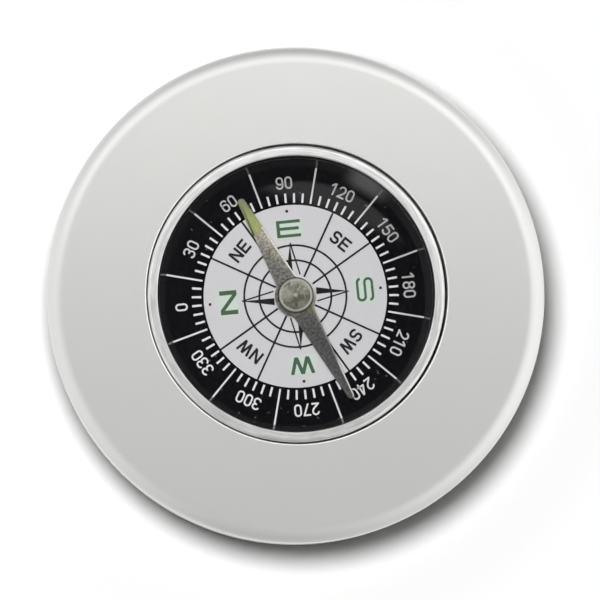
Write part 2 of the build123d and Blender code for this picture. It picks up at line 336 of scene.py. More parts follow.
class NeedleSettings(PropertyGroup):
    """Sizes and finishes of the needle and its pin."""
    heading: angle("Heading", "Where the needle points, anticlockwise from the top of the face", 29.4)
    paint_start: length("Paint start", "Where the luminous paint starts, from the pivot", 9.93)
    paint_root: length("Paint root", "Half width of the paint where it starts", 0.84)
    paint_tip: length("Paint tip", "Half width of the paint at its end", 0.46)
    blade_left: length("Blade left", "How far left of its hole the blade's middle lies", 0.16)
    south_cut: length("South cut", "How much shorter the south tip was cut than drawn", 0.25)
    paint_left: length("Paint left", "How far left of the blade's hole the paint's middle lies", 0.24)
    paint_height: length("Paint height", "How far the paint stands up from the blade", 0.05)
    paint_round: length("Paint round", "Rounding of the paint's upper edge", 0.14)
    tip_radius: length("Tip radius", "Radius of the blade's tips", 0.45)
    paint: colour("Paint", "Colour of the luminous paint", 0.36, 0.387, 0.138)
    # This colour also serves as painted shade along the paint's left side.
    worn_paint: colour("Worn paint", "Colour of the paint where it is worn", 0.21, 0.23, 0.12)
    # Painted sheen: the north arm's steel drawn lighter than the rest.
    pale_steel: colour("Pale steel", "Colour of the north arm beside the paint", 0.53, 0.51, 0.41)
    grey_steel: colour("Grey steel", "Colour of the blade round the cap", 0.24, 0.234, 0.216)
    # Painted shade: the south arm's steel drawn darker.
    dark_steel: colour("Dark steel", "Colour of the south arm", 0.13, 0.13, 0.128)
    # Painted highlights: bright steel on the blade's right-hand bevels, on the cap's rim and in its dimple.
    bare_steel: colour("Bare steel", "Colour of the ground edges and of the cap's worn rim", 1.0, 0.97, 0.89)
    stain: colour("Stain", "Colour of the stain beside the cap", 0.22, 0.21, 0.09)
    stain_right: length("Stain right", "How far right of the pivot the stain lies, with north up", 1.15)
    stain_down: length("Stain down", "How far south of the pivot the stain lies", 2.35)
    # Darkens the blade in a ring round the cap's foot.
    seam: colour("Seam", "Colour of the grime round the cap", 0.06, 0.06, 0.045)
    cap_plate: colour("Cap plate", "Colour of the plated cap", 0.385, 0.38, 0.315)
    collar: length("Collar", "Radius of the cap's collar under the blade", 1.9)
    spigot: length("Spigot", "Radius of the cap where it passes the blade", 1.48)
    rim_width: length("Rim width", "Width of the cap's raised rim", 0.34)
    rim_height: length("Rim height", "How far the rim stands above the cap's face", 0.07)
    dimple: length("Dimple", "Radius of the dimple in the cap", 0.35)
    dimple_depth: length("Dimple depth", "Depth of the dimple", 0.12)
    pin: colour("Pin", "Colour of the pivot pin", 0.5, 0.5, 0.5)
    jewel: colour("Jewel", "Colour of the jewel", 0.45, 0.02, 0.05)


class StageSettings(PropertyGroup):
    """The camera, the lamps, the floor and the room that metal mirrors."""
    camera_distance: length("Camera distance", "From the camera to the bezel", 500)
    frame_width: length("Frame width", "Width of the picture at the bezel", 80.48)
    south_tilt: angle("South tilt", "How far the camera stands off the vertical, to the bottom", 4.6)
    west_tilt: angle("West tilt", "How far the camera stands off the vertical, to the left", 2.1)
    aim_right: length("Aim right", "How far right of the bezel's middle the camera aims", 0.46)
    aim_down: length("Aim down", "How far below the bezel's middle the camera aims", 0.89)
    key: power("Key lamp", "Power of the lamp that lights the colours", 0.655)
    key_size: length("Key size", "Width of the lamp", 80)
    key_distance: length("Key distance", "From the lamp to the foot of the compass", 247)
    key_tilt: angle("Key tilt", "How far the lamp stands off the vertical", 7.5)
    key_heading: angle("Key heading", "Where the lamp stands, anticlockwise from the top of the face", 56.3)
    ambient: share("Ambient", "Even light from all round", 0.015)
    from_below: share("From below", "How much more light comes from below", 0.8)
    room: share("Room", "How bright the room is that metal mirrors", 0.64)
    back_dip: share("Back dip", "How much darker it is at the back", 0.1)
    horizon_dip: share("Horizon dip", "How much darker still it is low at the back", 0.34)
    front_dip: share("Front dip", "How much darker it is at the front", 0.24)
    right_lift: share("Right lift", "How much brighter it is at the right", 0.52)
    left_lift: share("Left lift", "How much brighter it is at the left", 0.26)
    floor: colour("Floor", "Colour of the floor", 0.95, 0.95, 0.95)
    glare: share("Glare", "How bright the glare is that the lens mirrors", 0.35)
    glare_radius: length("Glare radius", "Radius of the glare's edge on the lens", 16.0)
    glare_heading: angle("Glare heading", "Where the glare lies, anticlockwise from the top of the face", -20)
    spot: share("Spot", "How bright the second, smaller glare is", 0.9)
    spot_reach: length("Spot reach", "From the lens's middle to the second glare", 18.4)
    spot_heading: angle("Spot heading",
                        "Where the second glare lies, anticlockwise from the top of the face", -30)
    spot_width: length("Spot width", "Half width of the second glare along the wall", 4.0)
    spot_depth: length("Spot depth", "Half width of the second glare towards the wall", 2.2)
    panel: share("Panel", "How bright the panel is that the metal mirrors", 0.88)
    panel_height: length("Panel height", "From the floor to the panel", 200)
    panel_start: length("Panel start", "From the compass axis to the panel's near edge", 45)
    panel_depth: length("Panel depth", "From the panel's near edge to its far edge", 160)
    panel_width: length("Panel width", "Width of the panel", 320)


SETTINGS = {
    "compass_disc": DiscSettings,
    "compass_capsule": CapsuleSettings,
    "compass_dial": DialSettings,
    "compass_needle": NeedleSettings,
    "compass_stage": StageSettings,
}


# Shader maths

class Value:
    """A socket of a shader. Arithmetic on it adds Math nodes."""

    def __init__(self, finish, socket):
        self.finish = finish
        self.socket = socket

    def output(self, name):
        """Another output of the same node."""
        return Value(self.finish, self.socket.node.outputs[name])

    def maths(self, operation, *terms):
        """A Math node on some terms."""
        return self.finish.node("ShaderNodeMath", {"operation": operation}, dict(enumerate(terms)))

    def __add__(self, other):
        return self.maths("ADD", self, other)

    def __radd__(self, other):
        return self.maths("ADD", other, self)

    def __sub__(self, other):
        return self.maths("SUBTRACT", self, other)

    def __rsub__(self, other):
        return self.maths("SUBTRACT", other, self)

    def __mul__(self, other):
        return self.maths("MULTIPLY", self, other)

    def __rmul__(self, other):
        return self.maths("MULTIPLY", other, self)

    def __truediv__(self, other):
        return self.maths("DIVIDE", self, other)

    def __rtruediv__(self, other):
        return self.maths("DIVIDE", other, self)

    def __pow__(self, other):
        return self.maths("POWER", self, other)

    def __neg__(self):
        return 0 - self

    def __abs__(self):
        return self.maths("ABSOLUTE", self)

    def least(self, other):
        """The smaller of two values."""
        return self.maths("MINIMUM", self, other)

    def most(self, other):
        """The larger of two values."""
        return self.maths("MAXIMUM", self, other)

    def fade(self, start, end):
        """Rises smoothly from 0 at start to 1 at end."""
        return self.finish.node("ShaderNodeMapRange", {"interpolation_type": "SMOOTHSTEP"},
                                {"Value": self, "From Min": start, "From Max": end})

    def sharpen(self, spread):
        """Makes noise stand out: it rises from 0 to 1 within the spread below and above 0.5."""
        return self.fade(0.5 - spread, 0.5 + spread)


class Finish:
    """The node tree of a material, or of the world."""

    def __init__(self, owner):
        owner.use_nodes = True
        self.owner = owner
        self.tree = owner.node_tree
        self.tree.nodes.clear()

    @classmethod
    def material(cls, name):
        """Starts a new material."""
        return cls(bpy.data.materials.new(name))

    def node(self, kind, settings=None, inputs=None, output=0):
        """Adds a node, sets its settings, then its inputs by name or number, and gives one of its outputs."""
        node = self.tree.nodes.new(kind)
        for name, value in (settings or {}).items():
            setattr(node, name, value)
        for name, value in (inputs or {}).items():
            if isinstance(value, Value):
                self.tree.links.new(value.socket, node.inputs[name])
            else:
                node.inputs[name].default_value = value
        return Value(self, node.outputs[output]) if node.outputs else None

    def place(self, turn=0.0):
        """Where a point of the piece is, with the pattern turned about the compass axis."""
        point = self.node("ShaderNodeTexCoord", output="Object")
        if turn:
            point = self.node("ShaderNodeMapping", None, {"Vector": point, "Rotation": (0, 0, -turn)})
        return point

    def axes(self, point):
        """The three coordinates of a point."""
        x = self.node("ShaderNodeSeparateXYZ", None, {0: point})
        return x, x.output("Y"), x.output("Z")

    def flat(self, point):
        """The two coordinates of a point across the compass axis."""
        return self.axes(point)[:2]

    def speckle(self, point, size, detail=2.0, roughness=0.5):
        """Noise from 0 to 1 whose grains are about one size across."""
        return self.node("ShaderNodeTexNoise", None, {"Vector": point, "Scale": 1 / size, "Detail": detail,
                                                      "Roughness": roughness})

    def rings(self, point, size):
        """Noise that is the same all the way round the compass axis, as turning marks are."""
        return self.node("ShaderNodeTexNoise", {"noise_dimensions": "1D"},
                         {"W": span(*self.flat(point)), "Scale": 1 / size, "Detail": 2.0})

    def streaks(self, point, reach, stroke, width):
        """Noise drawn out round the compass axis, as brushing leaves it at a reach from the axis."""
        x, y = self.flat(point)
        radius = span(x, y)
        count = reach / stroke
        lay = self.node("ShaderNodeCombineXYZ", None,
                        {0: count * (x / radius), 1: count * (y / radius), 2: radius / width})
        return self.node("ShaderNodeTexNoise", None, {"Vector": lay, "Scale": 1.0, "Detail": 3.0})

    def mix(self, factor, first, second):
        """One colour over another."""
        return self.node("ShaderNodeMix", {"data_type": "RGBA"}, {0: factor, 6: first, 7: second}, output=2)

    def tones(self, mask, rgb, dark, light):
        """One colour, times dark where a mask is 0 and times light where it is 1."""
        return self.mix(mask, paint(rgb, dark), paint(rgb, light))

    def bump(self, height, depth):
        """A normal for a surface whose height, from 0 to 1, is so deep."""
        return self.node("ShaderNodeBump", None, {"Height": height, "Distance": depth})

    def shader(self, sockets):
        """A Principled shader whose sockets are given."""
        return self.node("ShaderNodeBsdfPrincipled", None, sockets)

    def blend(self, factor, first, second):
        """One shader over another."""
        return self.node("ShaderNodeMixShader", None, {0: factor, 1: first, 2: second})

    def show(self, shader):
        """Links a shader to the output and gives the finished material."""
        world = isinstance(self.owner, bpy.types.World)
        self.node("ShaderNodeOutputWorld" if world else "ShaderNodeOutputMaterial", None, {"Surface": shader})
        return self.owner

    def surface(self, sockets):
        """The finished material, with one plain shader whose sockets are given."""
        return self.show(self.shader(sockets))


def paint(rgb, level=1.0):
    """A colour for a socket, made lighter or darker."""
    return (*(min(1.0, part * level) for part in rgb), 1.0)


def span(x, y):
    """How far (x, y) is from the origin, for values of a shader."""
    return (x * x + y * y) ** 0.5


def toward(heading, x, y):
    """How far (x, y) lies along a heading, anticlockwise from +Y, for values of a shader."""
    return y * math.cos(heading) - x * math.sin(heading)


# Finishes

def satin_aluminium(disc):
    """Fine blasted and anodised aluminium, brighter where the upper edge and the pocket's mouth were cut."""
    finish = Finish.material("satin_aluminium")
    point = finish.place()
    x, y, z = finish.axes(point)
    grain = finish.speckle(point, BLAST_GRAIN)
    cloud = finish.speckle(point, BLAST_CLOUD)
    tone = finish.tones(0.75 * grain + 0.25 * cloud, disc.metal, 0.95, 1.05)
    radius, top = round_node("base_disc")[::2]
    outward = (span(x, y) - radius) / disc.edge_slope
    upward = (z - top) / disc.edge_slope
    tone = finish.mix(outward.fade(*RIM_INSIDE) * upward.fade(*RIM_BELOW), tone, paint(disc.rim_metal))
    mouth = pocket_radius(disc) + disc.mouth_round
    reach = span(x - disc.pocket_right, y - disc.pocket_up)
    cut = 1 - reach.fade(mouth - EDGE_BREAK, mouth + EDGE_BREAK)
    return finish.surface({
        "Base Color": finish.mix(cut, tone, paint(disc.cut_metal)),
        "Metallic": 0.85,
        "Roughness": disc.roughness + 0.08 * (grain - 0.5) - 0.12 * cut,
        "Normal": finish.bump(grain, BLAST_DEPTH),
    })


def pressed_felt(disc):
    """Dark pressed felt with short fibres."""
    finish = Finish.material("pressed_felt")
    point = finish.place()
    fibre = finish.speckle(point, FELT_FIBRE, detail=4.0, roughness=0.7)
    tuft = finish.speckle(point, FELT_TUFT)
    return finish.surface({
        "Base Color": finish.tones(fibre * (0.5 + tuft), disc.felt, 0.6, 2.6),
        "Roughness": 0.95,
        "Sheen Weight": 0.25,
        "Sheen Roughness": 0.5,
        "Normal": finish.bump(fibre, FIBRE_DEPTH),
    })


def turned_plating(capsule):
    """Bright plating over fine turning marks, brushed here and there."""
    finish = Finish.material("turned_plating")
    point = finish.place()
    mark = finish.rings(point, TURNING_MARK)
    reach = round_node("bezel_ring")[0]
    brush = finish.streaks(point, reach, BRUSH_LENGTH, BRUSH_WIDTH).sharpen(0.17)
    patch = finish.streaks(point, reach, PATCH_LENGTH, PATCH_WIDTH).sharpen(0.15)
    return finish.surface({
        "Base Color": finish.tones(0.2 * mark + 0.5 * brush + 0.3 * patch, capsule.plating, 0.66, 1.12),
        "Metallic": 1.0,
        "Roughness": 0.3 + 0.12 * mark,
        "Normal": finish.bump(mark, MARK_DEPTH),
    })


def bare_brass(capsule):
    """Drawn brass with a light tarnish."""
    finish = Finish.material("bare_brass")
    tarnish = finish.speckle(finish.place(), TARNISH, detail=4.0)
    return finish.surface({
        "Base Color": finish.tones(tarnish, capsule.brass, 0.75, 1.1),
        "Metallic": 1.0,
        "Roughness": 0.25 + 0.2 * tarnish,
    })


def plain_finish(name, rgb, grain_size, roughness, metallic=0.0):
    """A finish of one colour with a grain, for what is inside."""
    finish = Finish.material(name)
    grain = finish.speckle(finish.place(), grain_size)
    return finish.surface({
        "Base Color": finish.tones(grain, rgb, 0.85, 1.15),
        "Metallic": metallic,
        "Roughness": roughness + 0.1 * (grain - 0.5),
    })


def clear_acrylic():
    """Polished clear lens that lets the lamps light what is under it."""
    finish = Finish.material("clear_acrylic")
    glass = finish.shader({
        "Base Color": WHITE,
        "Roughness": 0.0,
        "IOR": ACRYLIC_IOR,
        "Transmission Weight": 1.0,
    })
    clear = finish.node("ShaderNodeBsdfTransparent")
    ray = finish.node("ShaderNodeLightPath", output="Is Shadow Ray")
    lit = finish.blend(ray, glass, clear)
    return finish.show(finish.blend(ray.output("Is Diffuse Ray"), lit, clear))


def gloss_black(capsule):
    """Glossy moulded wall round the dial."""
    finish = Finish.material("gloss_black")
    ripple = finish.speckle(finish.place(), WALL_RIPPLE)
    return finish.surface({
        "Base Color": finish.tones(ripple, capsule.wall, 0.72, 1.28),
        "Roughness": 0.06 + 0.05 * ripple,
    })


def dial_black(dial):
    """Semi-gloss black print with a few specks of dust."""
    finish = Finish.material("dial_black")
    point = finish.place()
    grain = finish.speckle(point, PRINT_GRAIN)
    dust = finish.speckle(point, DUST_SPECK, detail=0.0).fade(0.81, 0.86)
    ground = finish.tones(grain, dial.black, 0.7, 1.4)
    return finish.surface({
        "Base Color": finish.mix(0.18 * dust, ground, paint(dial.dust)),
        "Roughness": 0.15 + 0.04 * grain,
        "Specular IOR Level": 0.35,
    })


def card_white(dial):
    """White print, tinted where the green letters stand."""
    finish = Finish.material("card_white")
    x, y = finish.flat(finish.place(dial.heading))
    middle = sum(dial.point_radii) / len(dial.point_radii)
    off_radially = abs(abs(x).most(abs(y)) - middle) / (0.6 * dial.point_height)
    off_sideways = abs(x).least(abs(y)) / (0.6 * dial.point_width)
    tint = 1 - off_radially.most(off_sideways).fade(0.7, 1.15)
    ground = finish.tones(finish.speckle(finish.place(), CARD_GRAIN), dial.card, 0.97, 1.03)
    tone = finish.mix(0.45 * tint, ground, paint(dial.mint))
    return finish.surface({"Base Color": tone, "Roughness": 0.55})


def ink(name, rgb, dial=None, shaded=1.0):
    """An ink of slightly uneven density. On a dial's scale it carries painted shade, darker towards one
    side's wall.
    """
    finish = Finish.material(name)
    point = finish.place()
    tone = finish.tones(finish.speckle(point, INK_GRAIN), rgb, 0.88, 1.12)
    if dial is not None:
        x, y = finish.flat(point)
        # Painted shade: the scale darkens towards the wall at the shade heading, more so further out.
        thin = toward(dial.thin_heading, x, y).fade(-dial.figure_radius, dial.figure_radius)
        thin = thin * span(x, y).fade(dial.tick_start, dial.figure_radius)
        tone = finish.mix(thin, tone, paint(rgb, shaded))
    return finish.surface({"Base Color": tone, "Roughness": 0.5})


def tempered_steel(needle):
    """Mottled steel, paler along the north arm than along the south arm as painted sheen and shade, with a
    darker ring round the cap and painted highlights on the right-hand bevels.
    """
    finish = Finish.material("tempered_steel")
    point = finish.place(needle.heading)
    x, y = finish.flat(point)
    mottle = finish.speckle(point, STEEL_MOTTLE, detail=4.0, roughness=0.65).sharpen(0.14)
    blotch = finish.speckle(point, STEEL_BLOTCH)
    # Painted light: the arms are lit and shaded copies of one steel, painted sheen to the north and painted
    # shade to the south.
    dark = finish.tones(mottle, needle.dark_steel, 0.7, 1.3)
    grey = finish.tones(mottle, needle.grey_steel, 0.55, 1.45)
    pale = finish.tones(mottle, needle.pale_steel, 0.6, 1.42)
    tone = finish.mix(y.fade(*SHADED_TO_GREY), dark, grey)
    slanting = y + LIT_SLANT * x + BLOTCH_SHIFT * (blotch - 0.5)
    tone = finish.mix(slanting.fade(*GREY_TO_LIT), tone, pale)
    stain = 1 - span(x - needle.stain_right, y + needle.stain_down).fade(*STAIN_EDGE)
    tone = finish.mix((0.4 + 0.5 * mottle) * stain, tone, paint(needle.stain))
    # A darker ring on the blade round the cap's foot.
    seam = 1 - (span(x, y) - round_node("needle_cap")[0]).fade(*DARK_RING_EDGE)
    tone = finish.mix(0.8 * seam, tone, paint(needle.seam))
    # Painted highlight: the bevels turn bright steel, mostly on the right-hand side and less along the south
    # arm.
    tilt = finish.axes(finish.node("ShaderNodeTexCoord", output="Normal"))[2]
    bevel = (1 - tilt.fade(0.9, 0.97)) * (0.08 + 0.92 * x.fade(*HIGHLIGHT_SIDE))
    highlight_dim = (-y).fade(*HIGHLIGHT_DIM_START) * (1 - (-y).fade(*HIGHLIGHT_DIM_END))
    ground = bevel * (1 - 0.75 * highlight_dim) * (1 - seam)
    return finish.surface({
        "Base Color": finish.mix(ground, tone, paint(needle.bare_steel)),
        "Metallic": 0.75 - 0.5 * ground,
        "Roughness": 0.42 + 0.2 * (blotch - 0.5) - 0.12 * ground,
        "Normal": finish.bump(mottle, MARK_DEPTH),
    })


def dull_plate(needle):
    """Dull plating of the cap, with painted light: paler to the top of the face, and painted highlights on
    the rim and in the dimple.
    """
    finish = Finish.material("dull_plate")
    point = finish.place()
    x, y = finish.flat(point)
    radius = round_node("needle_cap")[0]
    reach = span(x, y)
    # Painted highlight along the cap's rim.
    worn = ((reach - radius) / needle.rim_width).fade(*RIM_HIGHLIGHT)
    fleck = finish.speckle(point, STEEL_MOTTLE, detail=4.0, roughness=0.65)
    patch = finish.speckle(point, CAP_PATCH)
    mottle = (0.55 * fleck + 0.45 * patch).sharpen(0.12)
    dark = finish.tones(mottle, needle.cap_plate, 0.3, 0.95)
    pale = finish.tones(mottle, needle.cap_plate, 0.75, 2.0)
    # Painted light: lighter towards the top of the face, darker towards the bottom.
    tone = finish.mix(y.fade(-radius, radius), dark, pale)
    # Painted highlight in the dimple.
    middle = 1 - reach.fade(*DIMPLE_HIGHLIGHT)
    tone = finish.mix(0.8 * middle, tone, paint(needle.bare_steel, 0.65))
    return finish.surface({
        "Base Color": finish.mix(0.75 * worn, tone, paint(needle.bare_steel, 0.8)),
        "Metallic": 0.8,
        "Roughness": 0.36 + 0.12 * (mottle - 0.5),
        "Normal": finish.bump(mottle, MARK_DEPTH),
    })


def luminous_paint(needle):
    """Brushed-on luminous paint, greyer at the very tip, with painted shade along its left side."""
    finish = Finish.material("luminous_paint")
    point = finish.place(needle.heading)
    x, y = finish.flat(point)
    worn = y.fade(needle.paint_start, north_reach(needle))
    clot = finish.speckle(point, PAINT_CLOT, detail=3.0).sharpen(0.2)
    # Painted shade along the paint's left side.
    left = 1 - x.fade(*PAINT_SHADE_SIDE)
    tone = finish.mix(worn, paint(needle.paint), paint(needle.worn_paint))
    tone = finish.mix(0.3 * clot + 0.35 * left, tone, paint(needle.worn_paint, 0.7))
    return finish.surface({"Base Color": tone, "Roughness": 0.6, "Normal": finish.bump(clot, CLOT_DEPTH)})


# Shapes

def round_node(name):
    """Radius, lowest and highest level of a round CAD node."""
    low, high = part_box(name)
    return (high.x - low.x) / 2, low.z, high.z


def pocket_radius(disc):
    """Radius of the pocket that the capsule stands in."""
    return round_node("bezel_ring")[0] + disc.pocket_clearance


def north_reach(needle):
    """From the pivot to the blade's north tip."""
    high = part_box("needle_blade")[1]
    return (high.y - needle.tip_radius) / math.cos(needle.heading) + needle.tip_radius


def chain(bm, corners, closed=False, guarded=False):
    """Joins (x, y, z, rounding) corners by edges and rounds them. Guards keep flat what is beside a round."""
    points = [bm.verts.new(corner[:3]) for corner in corners]
    nexts = points[1:] + points[:1] if closed else points[1:]
    for start, end in zip(points, nexts):
        bm.edges.new((start, end))
    for point, corner in zip(points, corners):
        rounding = corner[3]
        if not rounding:
            continue
        for edge in list(point.link_edges) if guarded else ():
            reach = GUARD * rounding / edge.calc_length()
            if reach < GUARD_LIMIT:
                bmesh.utils.edge_split(edge, point, reach)
        bmesh.ops.bevel(bm, geom=[point], offset=rounding, offset_type="OFFSET", segments=ROUND_SEGMENTS,
                        profile=0.5, affect="VERTICES", material=-1)


def turned(outline, closed=False, steps=TURN_STEPS):
    """Spins an outline of (radius, level, rounding) corners about the compass axis."""
    bm = bmesh.new()
    chain(bm, [(radius, 0, level, rounding) for radius, level, rounding in outline], closed, guarded=True)
    bmesh.ops.spin(bm, geom=bm.verts[:] + bm.edges[:], cent=(0, 0, 0), axis=(0, 0, 1), angle=math.tau,
                   steps=steps, use_merge=True)
    return bm


def add_piece(name, bm, material, body, slot, *nodes):
    """Makes a bmesh a piece that rides on a body and stands for the CAD nodes given. The slot is not used."""
    bmesh.ops.remove_doubles(bm, verts=bm.verts, dist=MERGE)
    bmesh.ops.recalc_face_normals(bm, faces=bm.faces)
    mesh = bpy.data.meshes.new(name)
    bm.to_mesh(mesh)
    bm.free()
    mesh.shade_smooth()
    mesh.set_sharp_from_angle(angle=CREASE)
    mesh.materials.append(material)
    piece = bpy.data.objects.new(name, mesh)
    bpy.context.scene.collection.objects.link(piece)
    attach(piece, body)
    if nodes:
        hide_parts(*nodes)
    return piece


def dress(name, material):
    """Gives a CAD node its finish."""
    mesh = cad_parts[name].data
    mesh.materials.clear()
    mesh.materials.append(material)


def add_bar(bm, start, end, width, height, place):
    """A straight stroke along +Y, from start to end, moved to its place."""
    size = Matrix.Diagonal((width, end - start, height, 1))
    middle = Matrix.Translation((0, (start + end) / 2, 0))
    bmesh.ops.create_cube(bm, size=1.0, matrix=place @ middle @ size)


def flat_ring(inner, outer, base, height):
    """A flat ring with square edges, as printing leaves it."""
    top = base + height
    return turned([(inner, base, 0), (outer, base, 0), (outer, top, 0), (inner, top, 0)], closed=True)


def add_shape(bm, shape, place=Matrix()):
    """Adds a finished shape to another one and frees it."""
    mesh = bpy.data.meshes.new("shape")
    shape.to_mesh(mesh)
    shape.free()
    mesh.transform(place)
    bm.from_mesh(mesh)
    bpy.data.meshes.remove(mesh)


def lift(bm, extruded, height):
    """Raises the points of what was just extruded."""
    points = [part for part in extruded if isinstance(part, bmesh.types.BMVert)]
    bmesh.ops.translate(bm, vec=(0, 0, height), verts=points)


def raised(corners, height):
    """A flat plate with the outline of (x, y, rounding) corners."""
    bm = bmesh.new()
    chain(bm, [(x, y, 0, rounding) for x, y, rounding in corners], closed=True)
    plate = bmesh.ops.contextual_create(bm, geom=bm.edges[:])["faces"]
    lift(bm, bmesh.ops.extrude_face_region(bm, geom=plate)["geom"], height)
    return bm


# Letters and figures

def strokes(sign, width, height, pen):
    """Centre lines of a letter or figure in its box, as (corners, closed), with (x, y, rounding) corners."""
    left, right = pen / 2, width - pen / 2
    foot, head = pen / 2, height - pen / 2
    waist = 0.53 * height
    bow = 0.49 * (right - left)
    turn = 0.49 * (head - foot) / 2
    six = [(right, 0.74 * height, 0), (right, head, bow), (left, head, bow), (left, foot, bow),
           (right, foot, bow), (right, 0.6 * height, bow), (left, 0.6 * height, 0)]
    lines = {
        "0": [[(left, foot, bow), (right, foot, bow), (right, head, bow), (left, head, bow)]],
        "1": [[(0.1 * width, 0.7 * height, 0), (0.58 * width, height, 0), (0.58 * width, 0, 0)]],
        "2": [[(left, 0.7 * height, 0), (left, head, bow), (right, head, bow),
               (right, 0.54 * height, 0.2 * height), (left, foot, 0), (width, foot, 0)]],
        "3": [[(left, 0.76 * height, 0), (left, head, turn), (right, head, turn), (right, waist, turn),
               (0.4 * width, waist, 0)],
              [(0.4 * width, waist, 0), (right, waist, turn), (right, foot, turn), (left, foot, turn),
               (left, 0.25 * height, 0)]],
        "4": [[(0.72 * width, 0, 0), (0.72 * width, height, 0), (left, 0.27 * height, 0),
               (width, 0.27 * height, 0)]],
        "5": [[(0.93 * width, head, 0), (0.18 * width, head, 0), (left, 0.56 * height, 0),
               (right, 0.61 * height, bow), (right, foot, bow), (left, foot, bow), (left, 0.24 * height, 0)]],
        "6": [six],
        "7": [[(0, head, 0), (right, head, 0), (0.3 * width, 0, 0)]],
        "8": [[(left, foot, turn), (right, foot, turn), (right, waist, turn), (left, waist, turn)],
              [(1.1 * left, waist, turn), (right, waist, turn), (right, head, turn),
               (1.1 * left, head, turn)]],
        "9": [[(width - x, height - y, rounding) for x, y, rounding in six]],
        "N": [[(left, 0, 0), (left, height, 0), (right, 0, 0), (right, height, 0)]],
        "E": [[(width, head, 0), (left, head, 0), (left, foot, 0), (width, foot, 0)],
              [(left, 0.51 * height, 0), (0.93 * width, 0.51 * height, 0)]],
        "S": [[(right, 0.74 * height, 0), (right, head, turn), (left, head, turn),
               (left, 0.5 * height, turn), (right, 0.5 * height, turn), (right, foot, turn),
               (left, foot, turn), (left, 0.26 * height, 0)]],
        "W": [[(0.4 * pen, height, 0), (0.27 * width, 0, 0), (0.5 * width, height, 0), (0.73 * width, 0, 0),
               (width - 0.4 * pen, height, 0)]],
    }
    return [(corners, sign in "08") for corners in lines[sign]]


def drawn_sign(sign, width, height, pen, depth):
    """A letter or figure as a solid, its lower left corner at the origin."""
    bm = bmesh.new()
    for layer, (corners, closed) in enumerate(strokes(sign, width, height, pen)):
        chain(bm, [(x, y, -layer * LAYER, rounding) for x, y, rounding in corners], closed)
    lift(bm, bmesh.ops.extrude_edge_only(bm, edges=bm.edges[:])["geom"], depth)
    bmesh.ops.recalc_face_normals(bm, faces=bm.faces)
    mesh = bpy.data.meshes.new("sign")
    bm.to_mesh(mesh)
    holder = bpy.data.objects.new("sign", mesh)
    bpy.context.scene.collection.objects.link(holder)
    nib = holder.modifiers.new("nib", "SOLIDIFY")
    nib.thickness = pen
    nib.offset = 0.0
    nib.use_even_offset = True
    graph = bpy.context.evaluated_depsgraph_get()
    inked = bpy.data.meshes.new_from_object(holder.evaluated_get(graph), depsgraph=graph)
    bm.clear()
    bm.from_mesh(inked)
    bpy.data.objects.remove(holder)
    bpy.data.meshes.remove(mesh)
    bpy.data.meshes.remove(inked)
    trim(bm, width, height)
    return bm


def trim(bm, width, height):
    """Cuts off what a sharp corner leaves outside the sign's box."""
    spare = 2 * MERGE
    sides = (
        ((-spare, 0, 0), (-1, 0, 0)),
        ((width + spare, 0, 0), (1, 0, 0)),
        ((0, -spare, 0), (0, -1, 0)),
        ((0, height + spare, 0), (0, 1, 0)),
    )
    for point, outward in sides:
        cut = bmesh.ops.bisect_plane(bm, geom=bm.verts[:] + bm.edges[:] + bm.faces[:], plane_co=point,
                                     plane_no=outward, clear_outer=True)
        rim = [part for part in cut["geom_cut"] if isinstance(part, bmesh.types.BMEdge)]
        if rim:
            bmesh.ops.edgeloop_fill(bm, edges=rim)


def add_word(bm, word, widths, height, pen, gap, radius, place, depth, stretch=1.0):
    """Letters of their own widths, centred at a radius along +Y and moved to their place."""
    left = -(sum(widths) + gap * (len(word) - 1)) / 2
    widen = Matrix.Diagonal((stretch, 1, 1, 1))
    for sign, width in zip(word, widths):
        shape = drawn_sign(sign, width / stretch, height, pen, depth)
        add_shape(bm, shape, place @ Matrix.Translation((left, radius - height / 2, 0)) @ widen)
        left += width + gap


def dial_place(dial, azimuth, level):
    """The matrix that takes +Y to an azimuth of the dial, at a level."""
    return Matrix.Translation((0, 0, level)) @ Matrix.Rotation(dial.heading - math.radians(azimuth), 4, "Z")


# One operator for each piece or group of like pieces

class COMPASS_OT_disc(Operator):
    """Turns the aluminium disc with its pocket and its recess for the felt"""
    bl_idname = "compass.disc"
    bl_label = "Turn the disc"

    def execute(self, context):
        disc = context.scene.compass_disc
        radius, base, top = round_node("base_disc")
        pocket = pocket_radius(disc)
        floor = round_node("capsule_tape")[1]
        recess = round_node("base_pad")[0] + disc.pad_clearance
        ceiling = round_node("pad_adhesive")[2]
        corner = disc.corner_radius * math.tan(math.pi / 8)
        shoulder = math.sqrt(2) * disc.edge_slope - disc.slope_flat - corner
        outline = [
            (0, floor, 0),
            (pocket, floor, disc.pocket_round),
            (pocket, top, disc.mouth_round),
            (radius - disc.edge_slope, top, shoulder),
            (radius, top - disc.edge_slope, corner),
            (radius, base + disc.foot_chamfer, EDGE_BREAK),
            (radius - disc.foot_chamfer, base, EDGE_BREAK),
            (recess, base, EDGE_BREAK),
            (recess, ceiling, disc.recess_round),
            (0, ceiling, 0),
        ]
        bm = turned(outline)
        mouth = pocket + 2 * disc.mouth_round
        inside = [point for point in bm.verts if point.co.xy.length < mouth and point.co.z > ceiling]
        bmesh.ops.translate(bm, vec=(disc.pocket_right, disc.pocket_up, 0), verts=inside)
        add_piece("turned_disc", bm, satin_aluminium(disc), "base", "satin_aluminium", "base_disc")
        return {"FINISHED"}


